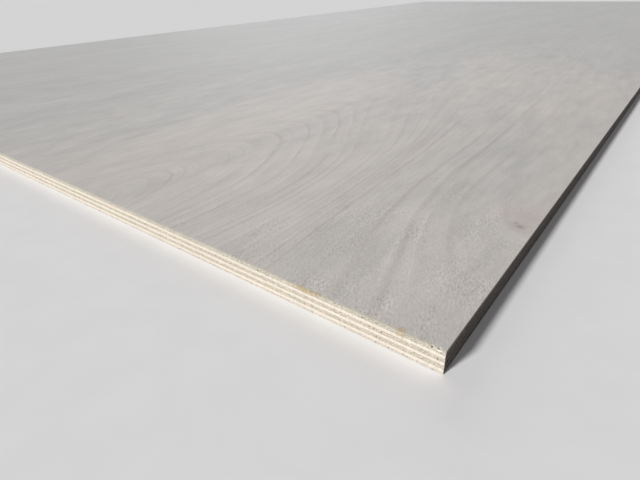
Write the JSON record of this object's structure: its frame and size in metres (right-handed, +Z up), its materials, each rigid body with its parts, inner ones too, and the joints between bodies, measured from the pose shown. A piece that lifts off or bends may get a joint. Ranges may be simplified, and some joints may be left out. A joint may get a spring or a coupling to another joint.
{
  "type": "plywood sheet",
  "caption": "Flat sheet of pale, rotary-cut plywood with square sawn edges that show its crossed veneers, for cladding, decking and joinery.",
  "frame": {"origin": "middle of the underside, where the sheet lies on the floor", "axes": "+Z up out of the face, +Y along the sheet and its face grain, +X across it"},
  "size_m": [1.22, 2.44, 0.012],
  "materials": {
    "face_veneer": "sanded rotary-cut veneer, bare",
    "long_band": "sawn veneer with its grain along the sheet, bare",
    "crossband": "sawn veneer with its grain across the sheet, bare",
    "back_veneer": "sanded rotary-cut veneer, bare"
  },
  "bodies": {
    "root": {"back_veneer": "back_veneer", "lower_crossband": "crossband", "lower_long_band": "long_band", "centre_crossband": "crossband", "upper_long_band": "long_band", "upper_crossband": "crossband", "face_veneer": "face_veneer"}
  },
  "joints": []
}
